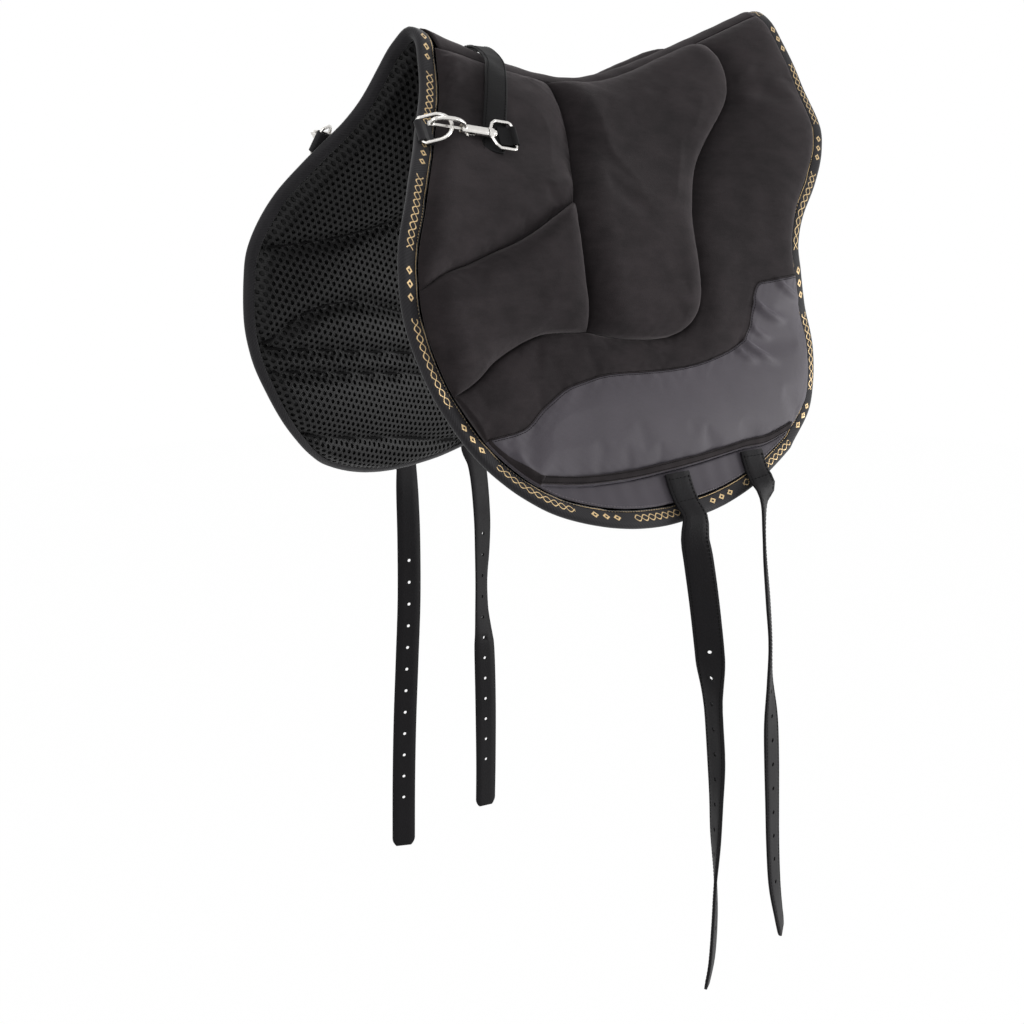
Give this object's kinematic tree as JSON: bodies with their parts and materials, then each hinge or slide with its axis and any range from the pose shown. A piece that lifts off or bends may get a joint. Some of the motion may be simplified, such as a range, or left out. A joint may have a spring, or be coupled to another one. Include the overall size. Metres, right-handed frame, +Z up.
{
  "type": "bareback pad",
  "caption": "Padded saddle-shaped pad of two quilted flaps with girth billets, front rings and a clip-on grab strap over the withers.",
  "frame": {"origin": "under the lining at the lowest point of the ridge, where the pad lies on the horse's back", "axes": "+Z up, -X towards the withers, -Y towards the near (left) side of the horse"},
  "size_m": [0.6265, 0.527, 1.0589],
  "materials": {
    "spacer_mesh": "black open spacer mesh",
    "foam": "soft foam",
    "suede": "black microsuede with a short nap",
    "satin_cloth": "dark grey satin cloth",
    "binding_tape": "black woven tape with a gold line",
    "webbing": "black webbing",
    "strap_leather": "soft black leather",
    "billet_leather": "smooth black leather",
    "nickel": "polished nickel plate",
    "spring_steel": "drawn wire"
  },
  "bodies": {
    "pad": {"edge_binding": "binding_tape", "spine_band": "suede", "front_girth_web": "webbing", "rear_girth_web": "webbing", "near_lining": "spacer_mesh", "near_hem_strip": "satin_cloth", "near_ring_tab": "webbing", "near_front_upper_roll_cover": "suede", "near_front_upper_roll_foam": "foam", "near_front_lower_roll_cover": "suede", "near_front_lower_roll_foam": "foam", "near_seat_cover": "suede", "near_seat_foam": "foam", "near_surround_cover": "suede", "near_surround_foam": "foam", "near_flap_cover": "satin_cloth", "near_flap_foam": "foam", "far_lining": "spacer_mesh", "far_hem_strip": "satin_cloth", "far_ring_tab": "webbing", "far_front_upper_roll_cover": "suede", "far_front_upper_roll_foam": "foam", "far_front_lower_roll_cover": "suede", "far_front_lower_roll_foam": "foam", "far_seat_cover": "suede", "far_seat_foam": "foam", "far_surround_cover": "suede", "far_surround_foam": "foam", "far_flap_cover": "satin_cloth", "far_flap_foam": "foam"},
    "strap": {"grab_strap": "strap_leather", "near_strap_chape": "strap_leather", "near_swivel_eye": "nickel", "far_strap_chape": "strap_leather", "far_swivel_eye": "nickel"},
    "near_d_ring": {"near_ring": "nickel"},
    "near_snap": {"near_snap_body": "nickel", "near_bolt_spring": "spring_steel"},
    "near_bolt": {"near_snap_bolt": "nickel"},
    "near_front_strap": {"near_front_billet": "billet_leather"},
    "near_rear_strap": {"near_rear_billet": "billet_leather"},
    "far_d_ring": {"far_ring": "nickel"},
    "far_snap": {"far_snap_body": "nickel", "far_bolt_spring": "spring_steel"},
    "far_bolt": {"far_snap_bolt": "nickel"},
    "far_front_strap": {"far_front_billet": "billet_leather"},
    "far_rear_strap": {"far_rear_billet": "billet_leather"}
  },
  "joints": [
    {"name": "strap_lift", "type": "hinge", "parent": "pad", "child": "strap", "pos_m": [-0.22598, 0, -0.0547], "axis": [0, -1, 0], "range_deg": [0, 20]},
    {"name": "near_snap_swivel", "type": "hinge", "parent": "strap", "child": "near_snap", "pos_m": [-0.22573, -0.10055, -0.05733], "axis": [0.9902, -0.1074, -0.0894], "range_deg": [-12, 12]},
    {"name": "near_bolt_slide", "type": "slide", "parent": "near_snap", "child": "near_bolt", "axis": [0.9902, -0.1074, -0.0894], "range_m": [0, 0.008], "stiffness_N_per_m": 150, "springref_m": -0.006, "deforming": ["near_bolt_spring"]},
    {"name": "near_d_ring_swing", "type": "hinge", "parent": "pad", "child": "near_d_ring", "pos_m": [-0.25027, -0.08902, -0.06203], "axis": [0.1352, 0.5745, 0.8072], "range_deg": [-2, 2]},
    {"name": "far_snap_swivel", "type": "hinge", "parent": "strap", "child": "far_snap", "pos_m": [-0.22573, 0.10055, -0.05733], "axis": [0.9902, 0.1074, -0.0894], "range_deg": [-12, 12]},
    {"name": "far_bolt_slide", "type": "slide", "parent": "far_snap", "child": "far_bolt", "axis": [0.9902, 0.1074, -0.0894], "range_m": [0, 0.008], "stiffness_N_per_m": 150, "springref_m": -0.006, "deforming": ["far_bolt_spring"]},
    {"name": "far_d_ring_swing", "type": "hinge", "parent": "pad", "child": "far_d_ring", "pos_m": [-0.25027, 0.08902, -0.06203], "axis": [-0.1352, 0.5745, -0.8072], "range_deg": [-2, 2]},
    {"name": "near_front_billet_swing", "type": "hinge", "parent": "pad", "child": "near_front_strap", "pos_m": [-0.033, -0.21728, -0.38795], "axis": [-1, 0, 0], "range_deg": [0, 80]},
    {"name": "near_rear_billet_swing", "type": "hinge", "parent": "pad", "child": "near_rear_strap", "pos_m": [0.068, -0.22621, -0.37411], "axis": [-1, 0, 0], "range_deg": [0, 80]},
    {"name": "far_front_billet_swing", "type": "hinge", "parent": "pad", "child": "far_front_strap", "pos_m": [-0.033, 0.21728, -0.38795], "axis": [1, 0, 0], "range_deg": [0, 80]},
    {"name": "far_rear_billet_swing", "type": "hinge", "parent": "pad", "child": "far_rear_strap", "pos_m": [0.068, 0.22621, -0.37411], "axis": [1, 0, 0], "range_deg": [0, 80]}
  ]
}
